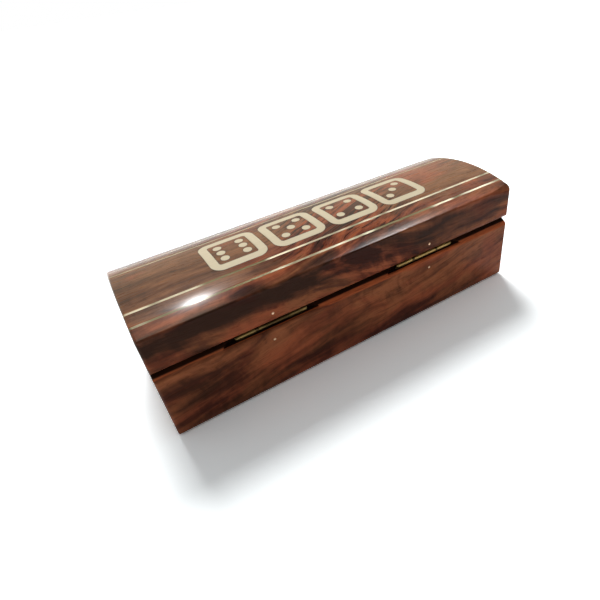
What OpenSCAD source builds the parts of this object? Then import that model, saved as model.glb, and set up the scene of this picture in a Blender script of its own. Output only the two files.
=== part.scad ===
// Arched wooden dice box. The lid turns on two butt hinges that sit in a bevelled groove at the rear.
// X runs along the box, -Y is the opening side, +Y is the hinge side, and Z = 0 is the underside.

/* [Box] */
// Length of the closed box
box_l = 146; // [128:1:200]
// Width of the box, front to rear
box_w = 48; // [44:1:60]
// Height of the closed box at the crown of the lid
box_h = 44.4; // [42:0.2:56]
// Height of the joint between the base and the lid
seam_h = 26.2; // [20:0.2:28]
// Thickness of the front and rear boards
wall_t = 6; // [5.6:0.1:8]
// Thickness of the end boards
end_t = 8; // [5:0.5:12]
// Thickness of the floor board
floor_t = 5; // [3:0.5:8]
// Thickness of the lid's top board at its crown
top_t = 8; // [7.5:0.1:9]

/* [Rounding] */
// Radius of the arch across the lid
arch_r = 73; // [60:1:100]
// Radius of the crease between the arch and the front and rear faces
crease_r = 1; // [0.5:0.1:3]
// Radius of the upright corners
corner_r = 1; // [0.5:0.1:2.5]
// Radius of the edges of the underside
foot_r = 1.8; // [0.5:0.1:2.5]
// Radius of the edge between the arch and the end faces
crown_r = 0.8; // [0.5:0.1:2.5]
// Radius of the crease at the very left end of the lid, where its corners are worn round
worn_r = 4.5; // [3:0.1:5.5]
// Length over which the wear tapers off along the crease
worn_l = 24; // [10:1:40]

/* [Rear groove] */
// Height of each bevel on the rear face
bevel_h = 2.05; // [1.4:0.05:2.4]
// Depth of the groove from the rear face
bevel_d = 3; // [2.6:0.1:3.4]
// Radius of the groove's lip on the lid
lid_lip_r = 1.9; // [0.5:0.1:2.2]
// Radius of the groove's lip on the base
base_lip_r = 0.9; // [0.5:0.1:2]

/* [Hinges] */
// Length of each hinge
hinge_l = 25.4; // [20:0.2:32]
// Distance between the middles of the two hinges
hinge_gap = 64; // [46:1:70]
// How far the pair of hinges lies off the middle of the box
hinge_shift = 1.2; // [0:0.1:4]
// Length of the middle knuckle
knuckle_l = 11; // [8:0.1:14]
// Radius of the barrel
barrel_r = 0.8; // [0.7:0.05:1]
// Radius of the pin
pin_r = 0.4; // [0.3:0.05:0.5]
// Depth of the pin's axis from the rear face
pin_in = 1.9; // [1.7:0.05:2.1]
// Thickness of a leaf
leaf_t = 0.4; // [0.3:0.05:0.6]
// Reach of a leaf from the pin's axis
leaf_h = 8; // [7:0.1:9]
// Radius of the pin's peened heads
pin_head_r = 0.6; // [0.5:0.05:0.7]
// Thickness of the pin's peened heads
pin_head_t = 0.3; // [0.2:0.05:0.4]
// Radius of the cutter that sinks the slot for the barrel
cutter_r = 5; // [4:0.5:8]

/* [Clearances] */
// Gap between a knuckle and its neighbour
knuckle_clear = 0.12; // [0.08:0.01:0.2]
// Radial clearance of a pin or a nail in its hole
pin_clear = 0.03; // [0.02:0.01:0.06]
// Clearance of a leaf in its kerf, on each face
kerf_clear = 0.05; // [0.03:0.01:0.12]
// Clearance round the barrel in its slot
slot_clear = 0.8; // [0.5:0.05:1.1]
// Gap between the hinge and each end of the slot
slot_end = 0.6; // [0.5:0.1:1.5]
// Width of the glue line round a die face
glue_w = 0.2; // [0.1:0.05:0.25]

/* [Nails] */
// Radius of a nail
nail_r = 0.35; // [0.25:0.05:0.4]
// Radius of a nail's head
nail_head_r = 0.5; // [0.45:0.05:0.8]
// Thickness of a nail's head
nail_head_t = 0.4; // [0.3:0.05:0.6]
// Length of a nail
nail_l = 5; // [4.4:0.1:5.2]
// Length of a nail's point
nail_tip = 0.9; // [0.5:0.1:1.2]
// Height of the lid's nails above the pin's axis
nail_up = 4.5; // [4:0.1:5.5]
// Depth of the base's nails below the pin's axis
nail_down = 5.6; // [4:0.1:6]
// Shift of the left hinge's nails from its middle
left_nail_shift = -1.1; // [-4:0.1:4]
// Shift of the right hinge's nail in the base from its middle
right_base_nail_shift = 0.9; // [-4:0.1:4]
// Shift of the right hinge's nail in the lid from its middle
right_lid_nail_shift = -0.5; // [-4:0.1:4]

/* [Inlays] */
// Width of a strip
strip_w = 0.8; // [0.6:0.1:1.6]
// Depth of a strip
strip_t = 1.5; // [1:0.1:2]
// Distance from an outer strip's middle to the nearer face of the box
strip_out = 5.3; // [5:0.1:6.6]
// Distance from an inner strip's middle to the nearer face of the box
strip_in = 11.1; // [9:0.1:11.8]
// Side of a die face
face_s = 20; // [18:0.5:21]
// Distance between the middles of neighbouring die faces
face_pitch = 22.5; // [21.5:0.5:24]
// Radius of a die face's corners
face_r = 4; // [3:0.1:6]
// Depth of a die face at the crown
face_t = 2; // [1.5:0.1:2.5]
// Width of the band round a die face
band_w = 3; // [1.5:0.1:3.1]
// Radius of a pip
pip_r = 1.5; // [0.8:0.1:1.6]
// Distance between the middles of neighbouring pips
pip_pitch = 4; // [3.8:0.1:4.2]

/* [Hidden] */
$fn = 96;
// The arch is so wide that it needs finer steps
arch_fn = 256;
// Reach of a cut past the outside of the box
past = 1;

half_l = box_l / 2;
half_w = box_w / 2;
inside_l = box_l - 2 * end_t;
inside_w = box_w - 2 * wall_t;
top_z = box_h - top_t;

// Middle of the arch's circle
arch_z = box_h - arch_r;
// Middle of the crease's circle, which touches the arch and the upright face
crease_y = half_w - crease_r;
crease_z = middle_z(crease_r);
// Where the crease meets the arch
touch_y = touch_at(crease_r);
touch_z = arch_at(touch_y);

// The pin's axis, and the leaf's inner face behind it
pin_y = half_w - pin_in;
hinge_x = [hinge_shift - hinge_gap / 2, hinge_shift + hinge_gap / 2];
base_nail_x = hinge_x + [left_nail_shift, right_base_nail_shift];
lid_nail_x = hinge_x + [left_nail_shift, right_lid_nail_shift];
base_nail_z = seam_h - nail_down;
lid_nail_z = seam_h + nail_up;
outer_knuckle_l = (hinge_l - knuckle_l) / 2 - knuckle_clear;
relief_r = barrel_r + slot_clear;
slot_d = pin_in + relief_r;
flat_l = hinge_l + 2 * slot_end;

// Numbers of pips, from the left end to the right end
face_counts = [3, 4, 5, 6];

rosewood = "#5e3323";
brass = "#b39a5c";
pale_wood = "#e0d3b6";

// Height of the arch's surface at a distance from the middle line
function arch_at(y) = arch_z + sqrt(arch_r * arch_r - y * y);

// Height of the middle of a rounding between the arch and the upright face
function middle_z(r) = arch_z + sqrt(pow(arch_r - r, 2) - pow(half_w - r, 2));

// Distance from the middle line at which such a rounding touches the arch
function touch_at(r) = (half_w - r) * arch_r / (arch_r - r);

// Extrudes an outline drawn in Y and Z along the box
module along_box(length) {
    rotate([90, 0, 90])
        linear_extrude(length, center = true)
            children();
}

// Repeats a shape at both signs of one direction
module both(direction) {
    children();
    mirror(direction)
        children();
}

// Quarter disc, drawn from its middle towards +x and +y
module quarter(r) {
    intersection() {
        circle(r);
        square(2 * r);
    }
}

// Square with rounded corners, drawn about its middle
module rounded_square(side, r) {
    square([side, side - 2 * r], center = true);
    square([side - 2 * r, side], center = true);
    both([1, 0])
        both([0, 1])
            translate([side / 2 - r, side / 2 - r])
                quarter(r);
}

// The corner of the lid's outline that lies beyond the middle of a rounding
module outer_corner(r) {
    polygon([[half_w - r, middle_z(r)], [half_w + past, middle_z(r)], [half_w + past, box_h],
             [touch_at(r), box_h], [touch_at(r), arch_at(touch_at(r))]]);
}

// Cross-section of the closed box in Y and Z
module section() {
    polygon([[-half_w + foot_r, 0], [half_w - foot_r, 0], [half_w - foot_r, foot_r], [half_w, foot_r],
             [half_w, crease_z], [crease_y, crease_z], [touch_y, touch_z],
             [-touch_y, touch_z], [-crease_y, crease_z], [-half_w, crease_z],
             [-half_w, foot_r], [-half_w + foot_r, foot_r]]);
    both([1, 0]) {
        translate([half_w - foot_r, foot_r])
            mirror([0, 1])
                quarter(foot_r);
        intersection() {
            translate([crease_y, crease_z])
                circle(crease_r);
            outer_corner(crease_r);
        }
    }
    intersection() {
        translate([0, arch_z])
            circle(arch_r, $fn = arch_fn);
        translate([-touch_y, touch_z])
            square([2 * touch_y, arch_r]);
    }
}

// Plan of the box, with its upright corners rounded
module plan() {
    square([box_l, box_w - 2 * corner_r], center = true);
    square([box_l - 2 * corner_r, box_w], center = true);
    both([1, 0])
        both([0, 1])
            translate([half_l - corner_r, half_w - corner_r])
                quarter(corner_r);
}

// Rear view of the box, with the lower corners rounded
module elevation() {
    translate([-half_l + foot_r, 0])
        square([box_l - 2 * foot_r, box_h]);
    translate([-half_l, foot_r])
        square([box_l, box_h - foot_r]);
    both([1, 0])
        translate([half_l - foot_r, foot_r])
            mirror([0, 1])
                quarter(foot_r);
}

// Turned about the arch's axis, this rounds the edge between the arch and the end faces
module crown_profile() {
    translate([0, -half_l])
        square([arch_r - crown_r, box_l]);
    translate([0, crown_r - half_l])
        square([arch_r, box_l - 2 * crown_r]);
    both([0, 1])
        translate([arch_r - crown_r, half_l - crown_r])
            quarter(crown_r);
}

// The outside of the closed box, as one block
module block() {
    intersection() {
        along_box(box_l)
            section();
        linear_extrude(box_h)
            plan();
        rotate([90, 0, 0])
            linear_extrude(box_w, center = true)
                elevation();
        translate([0, 0, arch_z])
            rotate([0, 90, 0])
                rotate_extrude($fn = arch_fn)
                    crown_profile();
    }
}

// What wear has taken off the rear corner at the left end: all beyond a cone that opens along the crease
module worn_corner() {
    // Growth of the cone's radius for each millimetre, up to the edge of a square block
    growth = worn_r * (sqrt(2) - 1) / worn_l;
    difference() {
        translate([(worn_l - past) / 2 - half_l, 0, 0])
            along_box(worn_l + past)
                outer_corner(worn_r);
        translate([-half_l - 2 * past, half_w - worn_r, middle_z(worn_r)])
            rotate([0, 90, 0])
                cylinder(h = worn_l + 3 * past, r1 = worn_r - 2 * past * growth, r2 = worn_r + (worn_l + past) * growth);
    }
}

// The part of the block between two corners
module board(low, high) {
    intersection() {
        block();
        translate(low)
            cube(high - low);
    }
}

// Upper half of the groove's outline, with its lip rounded
module half_groove(lip_r) {
    slope = atan(bevel_h / bevel_d);
    // Distance from the sharp lip to both ends of its rounding
    reach = lip_r * tan((90 - slope) / 2);
    difference() {
        polygon([[half_w - bevel_d, 0],
                 [half_w - reach * cos(slope), bevel_h - reach * sin(slope)],
                 [half_w - lip_r, bevel_h + reach],
                 [half_w + past, bevel_h + reach],
                 [half_w + past, 0]]);
        translate([half_w - lip_r, bevel_h + reach])
            circle(lip_r);
    }
}

// Groove with bevelled sides along the rear of the joint
module rear_groove() {
    translate([0, 0, seam_h])
        along_box(box_l + 2 * past) {
            half_groove(lid_lip_r);
            mirror([0, 1])
                half_groove(base_lip_r);
        }
}

// Slot for one barrel, run out at both ends by the round cutter
module barrel_slot(x) {
    translate([x, half_w - slot_d, seam_h - relief_r]) {
        translate([-flat_l / 2, 0, 0])
            cube([flat_l, slot_d + past, 2 * relief_r]);
        both([1, 0, 0])
            translate([flat_l / 2, cutter_r, 0])
                cylinder(h = 2 * relief_r, r = cutter_r);
    }
}

// Kerf that takes the two leaves of one hinge
module leaf_kerf(x) {
    kerf_h = leaf_h + kerf_clear;
    translate([x - flat_l / 2, pin_y - barrel_r - kerf_clear, seam_h - kerf_h])
        cube([flat_l, leaf_t + 2 * kerf_clear, 2 * kerf_h]);
}

// Sets a shape drawn along z, from a nail's head down, into the rear face
module at_nail(x, z) {
    translate([x, half_w, z])
        rotate([90, 0, 0])
            children();
}

// Hole for one nail and its head
module nail_hole(x, z) {
    at_nail(x, z) {
        translate([0, 0, -past])
            cylinder(h = nail_head_t + pin_clear + past, r = nail_head_r + pin_clear);
        cylinder(h = nail_l + pin_clear, r = nail_r + pin_clear);
    }
}

// All that is cut from the rear boards
module rear_cuts(nail_x, nail_z) {
    rear_groove();
    for (i = [0, 1]) {
        barrel_slot(hinge_x[i]);
        leaf_kerf(hinge_x[i]);
        nail_hole(nail_x[i], nail_z);
    }
}

// Bar that cuts the groove for a strip, and whose top gives the strip
module strip_bar(y) {
    translate([-half_l - past, y - strip_w / 2, arch_at(y) - strip_t])
        cube([box_l + 2 * past, strip_w, strip_t + past]);
}

// The four strips, from the rear to the front
strip_y = [half_w - strip_out, half_w - strip_in, strip_in - half_w, strip_out - half_w];

// Places of the pips of one face, in steps of their pitch
function pips(count) = concat(
    count % 2 == 1 ? [[0, 0]] : [],
    [[-1, -1], [1, 1]],
    count > 3 ? [[-1, 1], [1, -1]] : [],
    count > 5 ? [[-1, 0], [1, 0]] : []);

// Band and pips of one face, grown by a margin all round
module face_outline(count, margin) {
    difference() {
        rounded_square(face_s + 2 * margin, face_r + margin);
        rounded_square(face_s - 2 * band_w - 2 * margin, face_r - band_w);
    }
    for (p = pips(count))
        translate(p * pip_pitch)
            circle(pip_r + margin);
}

// Column over one face, from the bottom of its pocket up past the lid
module face_column(i, margin) {
    translate([(i - 1.5) * face_pitch, 0, box_h - face_t])
        linear_extrude(face_t + past)
            face_outline(face_counts[i], margin);
}

module base_rear_wall() {
    color(rosewood)
        difference() {
            board([-half_l, half_w - wall_t, 0], [half_l, half_w, seam_h]);
            rear_cuts(base_nail_x, base_nail_z);
        }
}

module base_front_wall() {
    color(rosewood)
        board([-half_l, -half_w, 0], [half_l, wall_t - half_w, seam_h]);
}

// End board of the base, at the left or, mirrored, at the right
module base_end() {
    color(rosewood)
        board([-half_l, -inside_w / 2, 0], [end_t - half_l, inside_w / 2, seam_h]);
}

module base_floor() {
    color(rosewood)
        translate([-inside_l / 2, -inside_w / 2, 0])
            cube([inside_l, inside_w, floor_t]);
}

module lid_rear_wall() {
    color(rosewood)
        difference() {
            board([-half_l, half_w - wall_t, seam_h], [half_l, half_w, box_h]);
            rear_cuts(lid_nail_x, lid_nail_z);
            strip_bar(strip_y[0]);
            worn_corner();
        }
}

module lid_front_wall() {
    color(rosewood)
        difference() {
            board([-half_l, -half_w, seam_h], [half_l, wall_t - half_w, box_h]);
            strip_bar(strip_y[3]);
            mirror([0, 1, 0])
                worn_corner();
        }
}

// End board of the lid, at the left or, mirrored, at the right
module lid_end() {
    color(rosewood)
        board([-half_l, -inside_w / 2, seam_h], [end_t - half_l, inside_w / 2, top_z]);
}

module lid_top() {
    color(rosewood)
        difference() {
            board([-half_l, -inside_w / 2, top_z], [half_l, inside_w / 2, box_h]);
            for (y = strip_y)
                strip_bar(y);
            for (i = [0:3])
                face_column(i, glue_w);
        }
}

module strip(i) {
    color(brass)
        intersection() {
            block();
            strip_bar(strip_y[i]);
        }
}

module inlay(i) {
    color(pale_wood)
        intersection() {
            block();
            face_column(i, 0);
        }
}

// One leaf below the pin's axis, with its knuckles given as starts and lengths
module leaf(i, knuckles, nail_x, nail_z) {
    color(brass)
        difference() {
            translate([hinge_x[i], pin_y, seam_h]) {
                translate([-hinge_l / 2, -barrel_r, -leaf_h])
                    cube([hinge_l, leaf_t, leaf_h - relief_r]);
                for (k = knuckles)
                    translate([k[0], 0, 0]) {
                        translate([0, -barrel_r, -relief_r])
                            cube([k[1], leaf_t, relief_r]);
                        rotate([0, 90, 0])
                            cylinder(h = k[1], r = barrel_r);
                    }
            }
            translate([hinge_x[i] - hinge_l, pin_y, seam_h])
                rotate([0, 90, 0])
                    cylinder(h = 2 * hinge_l, r = pin_r + pin_clear);
            nail_hole(nail_x, nail_z);
        }
}

module base_leaf(i) {
    leaf(i, [[-hinge_l / 2, outer_knuckle_l], [hinge_l / 2 - outer_knuckle_l, outer_knuckle_l]],
         base_nail_x[i], base_nail_z);
}

// The lid's leaf is the same leaf turned over, with the middle knuckle
module lid_leaf(i) {
    translate([0, 0, 2 * seam_h])
        mirror([0, 0, 1])
            leaf(i, [[-knuckle_l / 2, knuckle_l]], lid_nail_x[i], 2 * seam_h - lid_nail_z);
}

module hinge_pin(i) {
    color(brass)
        translate([hinge_x[i], pin_y, seam_h])
            rotate([0, 90, 0]) {
                cylinder(h = hinge_l, r = pin_r, center = true);
                both([0, 0, 1])
                    translate([0, 0, hinge_l / 2])
                        cylinder(h = pin_head_t, r1 = pin_head_r, r2 = pin_r);
            }
}

module nail(x, z) {
    color(brass)
        at_nail(x, z)
            rotate_extrude()
                polygon([[0, 0], [nail_head_r * 0.7, 0], [nail_head_r, nail_head_t / 3],
                         [nail_head_r, nail_head_t], [nail_r, nail_head_t],
                         [nail_r, nail_l - nail_tip], [0, nail_l]]);
}

base_rear_wall();
base_front_wall();
base_end();  // base_left_end
mirror([1, 0, 0]) base_end();  // base_right_end
base_floor();
lid_rear_wall();
lid_front_wall();
lid_end();  // lid_left_end
mirror([1, 0, 0]) lid_end();  // lid_right_end
lid_top();
strip(0);  // strip_rear_outer
strip(1);  // strip_rear_inner
strip(2);  // strip_front_inner
strip(3);  // strip_front_outer
inlay(0);  // inlay_three
inlay(1);  // inlay_four
inlay(2);  // inlay_five
inlay(3);  // inlay_six
base_leaf(0);  // left_hinge_base_leaf
lid_leaf(0);  // left_hinge_lid_leaf
hinge_pin(0);  // left_hinge_pin
base_leaf(1);  // right_hinge_base_leaf
lid_leaf(1);  // right_hinge_lid_leaf
hinge_pin(1);  // right_hinge_pin
nail(base_nail_x[0], base_nail_z);  // left_hinge_base_nail
nail(lid_nail_x[0], lid_nail_z);  // left_hinge_lid_nail
nail(base_nail_x[1], base_nail_z);  // right_hinge_base_nail
nail(lid_nail_x[1], lid_nail_z);  // right_hinge_lid_nail
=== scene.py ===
"""Dice box with a hinged lid. X runs along the box, the hinges are at +Y and the lid opens at -Y, in metres."""
import math

import bmesh
import bpy
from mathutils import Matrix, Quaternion, Vector


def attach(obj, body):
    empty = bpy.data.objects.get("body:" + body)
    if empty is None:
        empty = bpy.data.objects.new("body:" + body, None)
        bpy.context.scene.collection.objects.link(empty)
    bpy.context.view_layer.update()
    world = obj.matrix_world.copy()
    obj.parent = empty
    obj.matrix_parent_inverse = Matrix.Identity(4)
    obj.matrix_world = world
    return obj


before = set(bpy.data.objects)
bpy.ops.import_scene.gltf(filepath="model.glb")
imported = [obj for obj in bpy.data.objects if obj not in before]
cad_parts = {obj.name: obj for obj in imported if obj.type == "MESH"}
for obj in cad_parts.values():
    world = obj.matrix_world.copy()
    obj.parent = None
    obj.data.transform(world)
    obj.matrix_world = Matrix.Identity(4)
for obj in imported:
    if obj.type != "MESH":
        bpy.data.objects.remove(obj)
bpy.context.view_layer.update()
MM = 0.001


# Camera
# Where the camera stands, what it looks at and how far it leans, from the edges of the box in the photograph
EYE = Vector((68.04, 135.36, 115.38)) * MM
AIM = Vector((9.80, 19.00, 20.00)) * MM
LEAN = math.radians(-8.185)
LENS = 27.12
SHIFT = (-0.05, 0.0083)

lens = bpy.data.cameras.new("camera")
lens.lens = LENS
lens.shift_x, lens.shift_y = SHIFT
lens.clip_start, lens.clip_end = 0.005, 20
camera = bpy.data.objects.new("camera", lens)
bpy.context.scene.collection.objects.link(camera)
camera.location = EYE
camera.rotation_mode = "QUATERNION"
camera.rotation_quaternion = (AIM - EYE).to_track_quat("-Z", "Y") @ Quaternion((0, 0, 1), LEAN)
bpy.context.scene.camera = camera
bpy.context.scene.view_settings.view_transform = "Standard"


# Materials
def linear(colour):
    """Linear RGBA of an sRGB hex colour."""
    parts = [int(colour[i:i + 2], 16) / 255 for i in (1, 3, 5)]
    return [c / 12.92 if c <= 0.04045 else ((c + 0.055) / 1.055) ** 2.4 for c in parts] + [1]


def add(tree, kind, inputs=None, **settings):
    """Adds a node with its settings, and gives its inputs their values or links."""
    new = tree.nodes.new("ShaderNode" + kind)
    for key, value in settings.items():
        setattr(new, key, value)
    for key, value in (inputs or {}).items():
        if isinstance(value, bpy.types.NodeSocket):
            tree.links.new(value, new.inputs[key])
        else:
            new.inputs[key].default_value = value
    return new


def new_material(name):
    """A material with an empty tree."""
    material = bpy.data.materials.new(name)
    material.use_nodes = True
    material.node_tree.nodes.clear()
    return material, material.node_tree


SMOOTH = {"interpolation_type": "SMOOTHSTEP"}
COLOUR = {"data_type": "RGBA"}

# Noise drawn out along the grain: width across it in mm, how many times longer along it, detail and distortion
FIGURE = {
    "heart": (9.0, 3.6, 4, 0.4),    # zones of darker heartwood with flowing edges
    "hue": (12.0, 2.6, 3, 0.0),     # slow change from brown to red
    "bands": (2.8, 8, 5, 0.3),      # growth layers
    "veins": (1.2, 11, 3, 0.0),     # dark streaks
    "curl": (7.0, 0.35, 3, 0.4),    # ripples across the grain, where the fibres wave
    "fibres": (0.55, 20, 3, 0.0),   # fine lines; the real ones are 0.2 mm wide, too fine to show
    "pores": (0.35, 7, 1, 0.0),     # short dark dashes; the real ones are 0.15 mm wide, too fine to show
}
# Height of the joint between the base and the lid, and where the painted shade at the bottom of the groove ends, in mm
SEAM_H, GROOVE_SHADE_ENDS = 26.2, (22.75, 22.2)
# Heights between which the thin lacquer of the walls becomes the full coat of the arch, in mm
FULL_COAT = (39.6, 40.6)


def around(tree, place, middle, radii, amount):
    """The amount at one place, in mm, which fades to nothing at its radii."""
    scale = [1 / r for r in radii]
    near = add(tree, "Mapping", {"Vector": place, "Scale": scale, "Location": [-m * s for m, s in zip(middle, scale)]}).outputs[0]
    near = add(tree, "VectorMath", {0: near}, operation="LENGTH").outputs["Value"]
    return add(tree, "MapRange", {"Value": near, "From Min": 1.0, "From Max": 0.2, "To Max": amount}, **SMOOTH).outputs[0]


def rosewood(name, brown, red, streak, seed, turn=(0, 0, 0), wander=4, sweep=None, lively=(0.5, 1), deeper=(),
             redder=(), curlier=(), streaks=0.3, gloss=0.05, lacquer=(0.0, 0.45), groove=False):
    """Indian rosewood, sawn, sanded and lacquered: brown and red layers, dark streaks, and a clear gloss over them.

    brown and red = (pale, middle, deep) colours; sweep = (from x, to x, rise across the grain as a vector) bends
    the grain, in mm; lively = (streaks outside the sweep, inside it); deeper, redder and curlier = (middle, radii,
    amount) are places where the heartwood is darker, redder or curlier, in mm, and on the walls some darker places
    also paint shade and one redder place adds to a painted highlight; groove paints a highlight on the base's lip and
    shade at the bottom of the groove; lacquer = (coat on the walls, coat on the arch).
    """
    material, tree = new_material(name)
    place = add(tree, "Mapping", {"Vector": add(tree, "TexCoord").outputs["Object"],
                                  "Scale": (1 / MM, 1 / MM, 1 / MM)}).outputs[0]
    apart = add(tree, "Mapping", {"Vector": place, "Location": seed, "Scale": (0.5, 1, 1)}).outputs[0]
    drift = add(tree, "TexNoise", {"Vector": apart, "Scale": 1 / 22, "Detail": 3, "Roughness": 0.4}).outputs["Color"]
    drift = add(tree, "VectorMath", {0: drift, 1: (0.5, 0.5, 0.5)}, operation="SUBTRACT").outputs[0]
    drift = add(tree, "VectorMath", {0: drift, 1: (4 * wander, 2 * wander, 2 * wander)}, operation="MULTIPLY").outputs[0]
    wavy = add(tree, "VectorMath", {0: place, 1: drift}, operation="ADD").outputs[0]
    bent, energy = wavy, None
    if sweep:
        x = add(tree, "SeparateXYZ", {0: wavy}).outputs[0]
        along = add(tree, "MapRange", {"Value": x, "From Min": sweep[0], "From Max": sweep[1]}, **SMOOTH).outputs[0]
        rise = add(tree, "VectorMath", {0: sweep[2], "Scale": along}, operation="SCALE").outputs[0]
        bent = add(tree, "VectorMath", {0: wavy, 1: rise}, operation="SUBTRACT").outputs[0]
        # Highest in the middle of the sweep, and nothing at its ends
        back = add(tree, "Math", {0: 1.0, 1: along}, operation="SUBTRACT").outputs[0]
        energy = add(tree, "Math", {0: along, 1: back}, operation="MULTIPLY").outputs[0]
        energy = add(tree, "MapRange", {"Value": energy, "From Min": 0.02, "From Max": 0.2, "To Min": lively[0],
                                        "To Max": lively[1]}, **SMOOTH).outputs[0]
    grain = add(tree, "Mapping", {"Vector": bent, "Location": seed, "Rotation": [math.radians(a) for a in turn]}).outputs[0]
    figure = {}
    for key, (width, stretch, detail, swirl) in FIGURE.items():
        drawn = add(tree, "Mapping", {"Vector": grain, "Scale": (1 / stretch, 1, 1)}).outputs[0]
        figure[key] = add(tree, "TexNoise", {"Vector": drawn, "Scale": 1 / width, "Detail": detail,
                                             "Distortion": swirl}).outputs["Fac"]

    depth, hue, curl = 0.03, figure["hue"], 0.2
    for middle, radii, amount in curlier:
        curl = add(tree, "Math", {0: curl, 1: around(tree, wavy, middle, radii, amount)}, operation="ADD").outputs[0]
    ripple = add(tree, "Math", {0: figure["curl"], 1: 0.5}, operation="SUBTRACT").outputs[0]
    for value, share in ((figure["heart"], 0.62), (figure["bands"], 0.72), (ripple, curl)):
        depth = add(tree, "Math", {0: value, 1: share, 2: depth}, operation="MULTIPLY_ADD").outputs[0]
    if energy:
        lift = add(tree, "Math", {0: figure["bands"], 1: 0.5}, operation="SUBTRACT").outputs[0]
        lift = add(tree, "Math", {0: lift, 1: energy}, operation="MULTIPLY").outputs[0]
        depth = add(tree, "Math", {0: lift, 1: 0.6, 2: depth}, operation="MULTIPLY_ADD").outputs[0]
    for middle, radii, amount in deeper:
        depth = add(tree, "Math", {0: depth, 1: around(tree, wavy, middle, radii, amount)}, operation="ADD").outputs[0]
    for middle, radii, amount in redder:
        hue = add(tree, "Math", {0: hue, 1: around(tree, wavy, middle, radii, amount)}, operation="ADD").outputs[0]
    middling = add(tree, "MapRange", {"Value": depth, "From Min": 0.56, "From Max": 0.78}, **SMOOTH).outputs[0]
    deep = add(tree, "MapRange", {"Value": depth, "From Min": 0.72, "From Max": 0.98}, **SMOOTH).outputs[0]
    warm = add(tree, "MapRange", {"Value": hue, "From Min": 0.46, "From Max": 0.60}, **SMOOTH).outputs[0]
    tones = []
    for first, second, third in (brown, red):
        tone = add(tree, "Mix", {0: middling, 6: linear(first), 7: linear(second)}, **COLOUR).outputs[2]
        tones.append(add(tree, "Mix", {0: deep, 6: tone, 7: linear(third)}, **COLOUR).outputs[2])
    body = add(tree, "Mix", {0: warm, 6: tones[0], 7: tones[1]}, **COLOUR).outputs[2]
    for key, low, high, strength in (("veins", 0.52, 0.66, streaks), ("fibres", 0.46, 0.72, 0.5 * streaks),
                                     ("pores", 0.60, 0.78, 0.35)):
        line = add(tree, "MapRange", {"Value": figure[key], "From Min": low, "From Max": high, "To Max": strength}, **SMOOTH).outputs[0]
        if energy and key == "veins":
            line = add(tree, "Math", {0: line, 1: energy}, operation="MULTIPLY").outputs[0]
        body = add(tree, "Mix", {0: line, 6: body, 7: linear(streak)}, **COLOUR).outputs[2]
    x, y, z = add(tree, "SeparateXYZ", {0: place}).outputs
    if groove:
        # Painted highlight on the lip of the base, where it catches the light: a thin pale line at +X, which widens to
        # the whole lip towards -X
        rough_y = add(tree, "Math", {0: figure["veins"], 1: 0.9, 2: y}, operation="MULTIPLY_ADD").outputs[0]
        edge = add(tree, "MapRange", {"Value": x, "From Min": 26.0, "From Max": 2.0, "To Min": 0.0, "To Max": 1.4}, **SMOOTH).outputs[0]
        above = add(tree, "Math", {0: rough_y, 1: edge}, operation="SUBTRACT").outputs[0]
        painted_lip_highlight = add(tree, "MapRange", {"Value": figure["fibres"], "From Min": 0.35, "From Max": 0.6, "To Min": 0.45,
                                        "To Max": 0.9}).outputs[0]
        for value, low, high in ((rough_y, 22.9, 23.15), (above, 23.6, 23.25), (z, 23.7, 24.3), (z, 26.0, 25.7)):
            inside = add(tree, "MapRange", {"Value": value, "From Min": low, "From Max": high}, **SMOOTH).outputs[0]
            painted_lip_highlight = add(tree, "Math", {0: painted_lip_highlight, 1: inside}, operation="MULTIPLY").outputs[0]
        body = add(tree, "Mix", {0: painted_lip_highlight, 6: body, 7: linear("#C8683E")}, **COLOUR).outputs[2]
        # Painted shade: the bottom of the groove is darkened nearly to black, where shade falls between the lid and the
        # base, but not the rim inside it
        painted_groove_shade = add(tree, "MapRange", {"Value": y, "From Min": GROOVE_SHADE_ENDS[0], "From Max": GROOVE_SHADE_ENDS[1]}, **SMOOTH).outputs[0]
        off_rim = add(tree, "Math", {0: z, 1: SEAM_H}, operation="SUBTRACT").outputs[0]
        off_rim = add(tree, "Math", {0: off_rim}, operation="ABSOLUTE").outputs[0]
        for value, low, high in ((off_rim, 0.0, 0.12), (off_rim, 2.6, 2.3), (y, 19.2, 19.6)):
            inside = add(tree, "MapRange", {"Value": value, "From Min": low, "From Max": high}).outputs[0]
            painted_groove_shade = add(tree, "Math", {0: painted_groove_shade, 1: inside}, operation="MULTIPLY").outputs[0]
        painted_groove_shade = add(tree, "Math", {0: painted_groove_shade, 1: 0.93}, operation="MULTIPLY").outputs[0]
        body = add(tree, "Mix", {0: painted_groove_shade, 6: body, 7: linear("#0E0603")}, **COLOUR).outputs[2]
    coat = add(tree, "MapRange", {"Value": z, "From Min": FULL_COAT[0], "From Max": FULL_COAT[1], "To Min": lacquer[0],
                                  "To Max": lacquer[1]}).outputs[0]
    shine = add(tree, "MapRange", {"Value": figure["fibres"], "From Min": 0.3, "From Max": 0.7, "To Min": 0.24, "To Max": 0.36}).outputs[0]
    open_grain = add(tree, "Bump", {"Strength": 0.3, "Distance": 0.03 * MM, "Height": figure["pores"]}, invert=True).outputs[0]
    shader = add(tree, "BsdfPrincipled", {"Base Color": body, "Roughness": shine, "IOR": 1.5, "Specular IOR Level": gloss,
                                          "Coat Weight": coat, "Coat Roughness": 0.14, "Coat IOR": 1.5,
                                          "Normal": open_grain})
    add(tree, "OutputMaterial", {"Surface": shader.outputs[0]})
    return material


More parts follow.
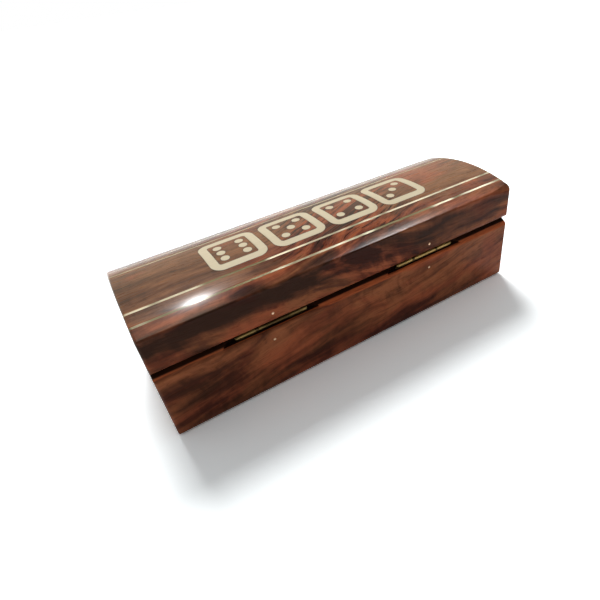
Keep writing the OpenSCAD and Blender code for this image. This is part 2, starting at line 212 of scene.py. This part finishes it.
def kadam(name):
    """Kadam, a plain pale wood, sawn and inlaid flush under the same lacquer: nearly even, with faint long lines."""
    material, tree = new_material(name)
    drawn = add(tree, "Mapping", {"Vector": add(tree, "TexCoord").outputs["Object"], "Scale": (0.1 / MM, 1 / MM, 1 / MM)}).outputs[0]
    lines = add(tree, "TexNoise", {"Vector": drawn, "Scale": 1 / 0.7, "Detail": 3, "Roughness": 0.6}).outputs["Fac"]
    colour = add(tree, "Mix", {0: lines, 6: linear("#DACFB4"), 7: linear("#CABC9D")}, **COLOUR).outputs[2]
    shader = add(tree, "BsdfPrincipled", {"Base Color": colour, "Roughness": 0.35, "IOR": 1.5, "Specular IOR Level": 0.2,
                                          "Coat Weight": 0.4, "Coat Roughness": 0.05, "Coat IOR": 1.5})
    add(tree, "OutputMaterial", {"Surface": shader.outputs[0]})
    return material


def drawn_brass(name, bright, dull, low, high, tarnished_and_dim_places=(), lacquer=0.0):
    """Brass drawn to shape: fine lines along its length, and dull brown where it has tarnished under the lacquer and at
    listed duller places, which on the strips paint a dimmer reflection.
    """
    material, tree = new_material(name)
    place = add(tree, "Mapping", {"Vector": add(tree, "TexCoord").outputs["Object"], "Scale": (1 / MM, 1 / MM, 1 / MM)}).outputs[0]
    drawn = add(tree, "Mapping", {"Vector": place, "Scale": (0.04, 1, 1)}).outputs[0]
    lines = add(tree, "TexNoise", {"Vector": drawn, "Scale": 1 / 0.5, "Detail": 2}).outputs["Fac"]
    tarnish_and_dim_reflection = add(tree, "TexNoise", {"Vector": place, "Scale": 1 / 9, "Detail": 1}).outputs["Fac"]
    for middle, radii, amount in tarnished_and_dim_places:
        tarnish_and_dim_reflection = add(tree, "Math", {0: tarnish_and_dim_reflection, 1: around(tree, place, middle, radii, amount)}, operation="ADD").outputs[0]
    tarnish_and_dim_reflection = add(tree, "MapRange", {"Value": tarnish_and_dim_reflection, "From Min": 0.40, "From Max": 0.85}, **SMOOTH).outputs[0]
    colour = add(tree, "Mix", {0: tarnish_and_dim_reflection, 6: linear(bright), 7: linear(dull)}, **COLOUR).outputs[2]
    rough = add(tree, "MapRange", {"Value": lines, "From Min": 0.3, "From Max": 0.7, "To Min": low, "To Max": high}).outputs[0]
    shader = add(tree, "BsdfPrincipled", {"Base Color": colour, "Metallic": 1.0, "Roughness": rough, "Coat Weight": lacquer,
                                          "Coat Roughness": 0.14, "Coat IOR": 1.5})
    add(tree, "OutputMaterial", {"Surface": shader.outputs[0]})
    return material


def dark_glue(name):
    """Wood glue set with rosewood dust, scraped level: a dark, dull line."""
    material, tree = new_material(name)
    dust = add(tree, "TexNoise", {"Vector": add(tree, "TexCoord").outputs["Object"], "Scale": 1 / (0.3 * MM)}).outputs["Fac"]
    colour = add(tree, "Mix", {0: dust, 6: linear("#2A170F"), 7: linear("#43271A")}, **COLOUR).outputs[2]
    shader = add(tree, "BsdfPrincipled", {"Base Color": colour, "Roughness": 0.5, "IOR": 1.5})
    add(tree, "OutputMaterial", {"Surface": shader.outputs[0]})
    return material


TOP = rosewood("lacquered_rosewood_top", ("#86583A", "#69412A", "#3C2317"), ("#9A5234", "#783C27", "#3E1B12"), "#26110A",
               seed=(0, 0, 0), wander=5, sweep=(-48, 34, (0, 24, 0)), lively=(0.2, 1.6), streaks=0.8, gloss=0.10,
               deeper=(((-62, 0, 42), (30, 24, 12), -0.06), ((2, 14, 42), (40, 9, 9), 0.09), ((62, -4, 42), (30, 22, 12), 0.05)),
               redder=(((4, 8, 42), (46, 18, 12), 0.10), ((64, 0, 42), (36, 26, 12), -0.12)), curlier=(((8, -2, 44), (36, 14, 8), 0.3),))
LID_REAR = rosewood("lacquered_rosewood_lid_wall", ("#93593A", "#663C28", "#361F14"), ("#A0583A", "#713A26", "#3A1A11"), "#241009",
                    seed=(300, 40, 11), turn=(0, 3, 0), wander=5, sweep=(-44, 36, (0, 16, 4)), lively=(0.2, 0.7), streaks=0.5,
                    groove=True,
                    # The darker places at +X (X 60 and 62) are darker heartwood and also painted shade: the wall is
                    # darker towards that end
                    deeper=(((60, 24, 36.5), (60, 20, 6.5), 0.34), ((-5, 24, 37), (80, 20, 6.5), 0.20), ((33, 24, 29), (20, 20, 5), -0.10),
                            ((-10, 24, 30), (22, 20, 5), -0.12), ((62, 22, 41), (30, 6, 2.5), -0.14),
                            ((12, 21, 42), (44, 6, 2.6), -0.16), ((62, 24, 30), (16, 20, 6), 0.12),
                            ((33, 22.5, 41), (9, 3, 2.5), 0.22), ((-15, 21, 42.2), (18, 4, 2.6), 0.28),
                            ((-38, 24, 38.6), (22, 20, 4), 0.10),
                            ((-58, 24, 33), (22, 20, 9), 0.10)),
                    redder=(((33, 24, 30), (24, 20, 5), 0.10), ((8, 21, 42), (48, 6, 2.5), 0.12)), curlier=(((-14, 24, 31), (18, 20, 5), 0.6),))
BASE_REAR = rosewood("lacquered_rosewood_base_wall", ("#A0603F", "#7E4A30", "#46281B"), ("#A65B3C", "#84462F", "#4A241A"), "#2C150D",
                     seed=(700, 90, 23), turn=(0, -8, 0), wander=6, groove=True,
                     # The darker places at +X (X 50 and 64) are darker heartwood and also painted shade: the wall is
                     # darker towards that end
                     deeper=(((64, 24, 10), (34, 20, 16), 0.22), ((30, 24, 17), (26, 20, 7), -0.10), ((10, 24, 4), (90, 20, 7), 0.20),
                             ((-8, 24, 19), (22, 20, 6), -0.10), ((50, 24, 18), (34, 20, 6), 0.12),
                             ((-58, 24, 16), (22, 20, 10), 0.08)),
                     # The first redder place, on the lip of the base, adds red to its painted highlight
                     redder=(((-20, 23.4, 25), (64, 1.4, 1.8), 0.3), ((-55, 24, 14), (30, 20, 12), 0.06)),
                     curlier=(((-12, 24, 20), (22, 20, 6), 0.4),))
SIDE_TONES = (("#8C5E3E", "#64402A", "#3A2216"), ("#92502F", "#6E3824", "#401D13"), "#22110A")
FRONT = rosewood("lacquered_rosewood_front", *SIDE_TONES, seed=(1100, 10, 70), turn=(0, 4, 0))
ENDS = rosewood("lacquered_rosewood_ends", *SIDE_TONES, seed=(1500, 160, 40), turn=(0, 0, 90))
FLOOR = rosewood("lacquered_rosewood_floor", *SIDE_TONES, seed=(1900, 30, 90))
INLAY = kadam("inlaid_kadam_wood")
# Places where one knuckle of a hinge meets the next, in mm: dirt gathers there
KNUCKLE_JOINTS = (38.7, 27.7, -25.3, -36.3)
# On the strips, the duller places paint dimmer reflections where the strips mirror dark surroundings: the inner strip
# at Y 12.9 and the outer at Y 18.7
STRIP = drawn_brass("lacquered_brass_strip", "#CFC7B2", "#665E45", 0.50, 0.60, lacquer=0.25,
                    tarnished_and_dim_places=(((38, 12.9, 43), (16, 2, 2), 0.7), ((62, 18.7, 42), (14, 2, 2), 0.2), ((0, 18.7, 42), (400, 2, 2), 0.14),
                            ((34, 18.7, 42), (16, 2, 2), 0.15), ((-28, 18.7, 42), (13, 2, 2), 0.5)))
HINGE = drawn_brass("tarnished_brass_hinge", "#A38855", "#4A3C24", 0.34, 0.5,
                    tarnished_and_dim_places=[((33, 22, 26), (20, 6, 6), 0.2)] + [((x, 22, 26.5), (0.8, 4, 4), 0.6) for x in KNUCKLE_JOINTS])
NAIL = drawn_brass("clean_brass_nail", "#DDB796", "#C89C74", 0.25, 0.4)
GLUE = dark_glue("dark_wood_glue")

# Each node takes the first material whose words end its name
DRESS = (("lid_top", TOP), ("lid_rear_wall", LID_REAR), ("base_rear_wall", BASE_REAR), ("front_wall", FRONT), ("_end", ENDS),
         ("base_floor", FLOOR), ("_nail", NAIL), ("_leaf", HINGE), ("_pin", HINGE))
for name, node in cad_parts.items():
    found = [finish for words, finish in DRESS if name.endswith(words)]
    if name.startswith("strip"):
        found = [STRIP]
    if name.startswith("inlay"):
        found = [INLAY]
    node.data.materials.clear()
    node.data.materials.append(found[0])


# Glue lines round the inlaid dice faces
# Sizes of the lid and the inlays in mm, as they were cut
ARCH_R, BOX_H = 73, 44.4
FACE_S, FACE_R, FACE_PITCH, FACE_T = 20, 4, 22.5, 2
BAND_W, PIP_R, PIP_PITCH, GLUE_W = 3, 1.5, 4, 0.2
BITE = 0.02    # the glue reaches this far into the wood on both sides
SUNK = 0.03    # and it has shrunk this far below the surface


def pips(count):
    """Places of the pips of one face, in steps of their pitch."""
    places = [(0, 0)] if count % 2 else []
    places += [(-1, -1), (1, 1)]
    places += [(-1, 1), (1, -1)] if count > 3 else []
    places += [(-1, 0), (1, 0)] if count > 5 else []
    return places


def rounded_square(side, radius, steps=12):
    """Points round a square with rounded corners, in mm."""
    points = []
    for corner in range(4):
        turn = math.pi / 2 * corner
        for step in range(steps + 1):
            angle = turn + math.pi / 2 * step / steps
            reach = side / 2 - radius
            x = reach * (1 if corner in (0, 3) else -1) + radius * math.cos(angle)
            y = reach * (1 if corner in (0, 1) else -1) + radius * math.sin(angle)
            points.append((x, y))
    return points


def disc(x, y, radius, steps=32):
    """Points round a circle, in mm."""
    return [(x + radius * math.cos(2 * math.pi * s / steps), y + radius * math.sin(2 * math.pi * s / steps)) for s in range(steps)]


def arch_at(y):
    """Height of the lid's surface in mm."""
    return BOX_H - ARCH_R + math.sqrt(ARCH_R ** 2 - y ** 2)


def glue_lines(name, count, middle):
    """The glue in the gap between one dice face and its pocket."""
    outlines = [(rounded_square(FACE_S - 2 * BITE, FACE_R - BITE), rounded_square(FACE_S + 2 * (GLUE_W + BITE), FACE_R + GLUE_W + BITE)),
                (rounded_square(FACE_S - 2 * (BAND_W + GLUE_W + BITE), FACE_R - BAND_W), rounded_square(FACE_S - 2 * (BAND_W - BITE), FACE_R - BAND_W))]
    outlines += [(disc(PIP_PITCH * x, PIP_PITCH * y, PIP_R - BITE), disc(PIP_PITCH * x, PIP_PITCH * y, PIP_R + GLUE_W + BITE)) for x, y in pips(count)]
    shape = bmesh.new()
    for inner, outer in outlines:
        rings = []
        for outline, top in ((inner, True), (outer, True), (outer, False), (inner, False)):
            rings.append([shape.verts.new(Vector((middle + x, y, arch_at(y) - SUNK if top else BOX_H - FACE_T)) * MM) for x, y in outline])
        for ring, following in zip(rings, rings[1:] + rings[:1]):
            for i in range(len(ring)):
                j = (i + 1) % len(ring)
                shape.faces.new((ring[i], following[i], following[j], ring[j]))
    bmesh.ops.recalc_face_normals(shape, faces=shape.faces)
    mesh = bpy.data.meshes.new(name)
    shape.to_mesh(mesh)
    shape.free()
    mesh.materials.append(GLUE)
    piece = bpy.data.objects.new(name, mesh)
    bpy.context.scene.collection.objects.link(piece)
    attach(piece, "lid")


for place, (word, count) in enumerate((("three", 3), ("four", 4), ("five", 5), ("six", 6))):
    glue_lines("glue_" + word, count, (place - 1.5) * FACE_PITCH)


# Floor, surroundings and lamps
def lamp(name, kind, at, to, power, **settings):
    """A lamp at one place, in mm, that looks at another."""
    data = bpy.data.lights.new(name, kind)
    data.energy = power
    for key, value in settings.items():
        setattr(data, key, value)
    made = bpy.data.objects.new(name, data)
    bpy.context.scene.collection.objects.link(made)
    made.location = Vector(at) * MM
    made.rotation_mode = "QUATERNION"
    made.rotation_quaternion = (Vector(to) - Vector(at)).to_track_quat("-Z", "Y")
    return made


mesh = bpy.data.meshes.new("floor")
shape = bmesh.new()
bmesh.ops.create_circle(shape, cap_ends=True, segments=64, radius=6)
shape.to_mesh(mesh)
shape.free()
floor = bpy.data.objects.new("floor", mesh)
bpy.context.scene.collection.objects.link(floor)
# How bright the paper is for the light that bounces off it, and for the camera, which overexposes it
PAPER, OVEREXPOSED = (0.86, 0.86, 0.86, 1), (1.58, 1.65, 1.67, 1)
material, tree = new_material("white_paper_floor")
path = add(tree, "LightPath")
seen = add(tree, "Math", {0: path.outputs["Is Camera Ray"], 1: path.outputs["Is Glossy Ray"]}, operation="ADD").outputs[0]
seen = add(tree, "Math", {0: seen, 1: path.outputs["Is Transmission Ray"]}, operation="ADD", use_clamp=True).outputs[0]
shade = add(tree, "Mix", {0: seen, 6: PAPER, 7: OVEREXPOSED}, **COLOUR).outputs[2]
add(tree, "OutputMaterial", {"Surface": add(tree, "BsdfDiffuse", {"Color": shade}).outputs[0]})
mesh.materials.append(material)

AMBIENT = 0.345
world = bpy.data.worlds.new("studio")
bpy.context.scene.world = world
world.use_nodes = True
tree = world.node_tree
tree.nodes.clear()
path = add(tree, "LightPath")
mirrored = add(tree, "Math", {0: path.outputs["Is Glossy Ray"], 1: path.outputs["Is Transmission Ray"]}, operation="ADD", use_clamp=True).outputs[0]
toward = add(tree, "TexCoord").outputs["Generated"]
across, back, up = add(tree, "SeparateXYZ", {0: toward}).outputs
# What mirrors show of the room: bright behind the box, dimmer near the ground, and dark overhead and on the other
# side, with a dark beam, a skylight beside the lamp and a window, as limits of their directions
room = add(tree, "MapRange", {"Value": back, "From Min": -0.1, "From Max": -0.45, "To Min": 0.2}, **SMOOTH).outputs[0]
for low, high, least in ((0.90, 0.80, 0.15), (0.0, 0.4, 0.5)):
    part = add(tree, "MapRange", {"Value": up, "From Min": low, "From Max": high, "To Min": least}, **SMOOTH).outputs[0]
    room = add(tree, "Math", {0: room, 1: part}, operation="MULTIPLY").outputs[0]
for limits, power in ((((across, -0.12, -0.28), (across, -0.64, -0.54), (up, 0.66, 0.74)), -0.85),
                      (((across, -0.22, -0.10), (across, 0.20, 0.0), (up, 0.82, 0.97), (back, 0.45, 0.25)), 3.0),
                      (((across, -0.61, -0.54), (across, -0.40, -0.50), (back, -0.32, -0.22), (back, 0.0, -0.12), (up, 0.7, 0.76)), 44.0)):
    patch = power
    for value, low, high in limits:
        part = add(tree, "MapRange", {"Value": value, "From Min": low, "From Max": high}, **SMOOTH).outputs[0]
        patch = add(tree, "Math", {0: patch, 1: part}, operation="MULTIPLY").outputs[0]
    room = add(tree, "Math", {0: room, 1: patch}, operation="ADD").outputs[0]
room = add(tree, "Math", {0: room, 1: 0.03}, operation="MAXIMUM").outputs[0]
unseen = add(tree, "Mix", {0: mirrored, 2: AMBIENT, 3: room}).outputs[0]
strength = add(tree, "Mix", {0: path.outputs["Is Camera Ray"], 2: unseen, 3: 1.0}).outputs[0]
warm = add(tree, "Mix", {0: patch, 6: linear("#FFF0D6"), 7: linear("#FFFFFF")}, **COLOUR).outputs[2]
tint = add(tree, "Mix", {0: mirrored, 6: linear("#FFFFFF"), 7: warm}, **COLOUR).outputs[2]
add(tree, "OutputWorld", {"Surface": add(tree, "Background", {"Color": tint, "Strength": strength}).outputs[0]})

key = lamp("key", "SUN", (-150, -650, 760), (0, 0, 30), 2.95, angle=math.radians(28))
key.visible_glossy = False
# Place on the outer strip where the small lamp is mirrored, and the direction from there to the lamp
GLINT, TO_LAMP = Vector((53.0, 18.0, 42.15)), Vector((-0.108, -0.489, 0.865))
glint = lamp("glint", "AREA", GLINT + TO_LAMP * 600, GLINT, 0.75, shape="DISK", size=0.030)
# It is too small to light the room
glint.visible_diffuse = False
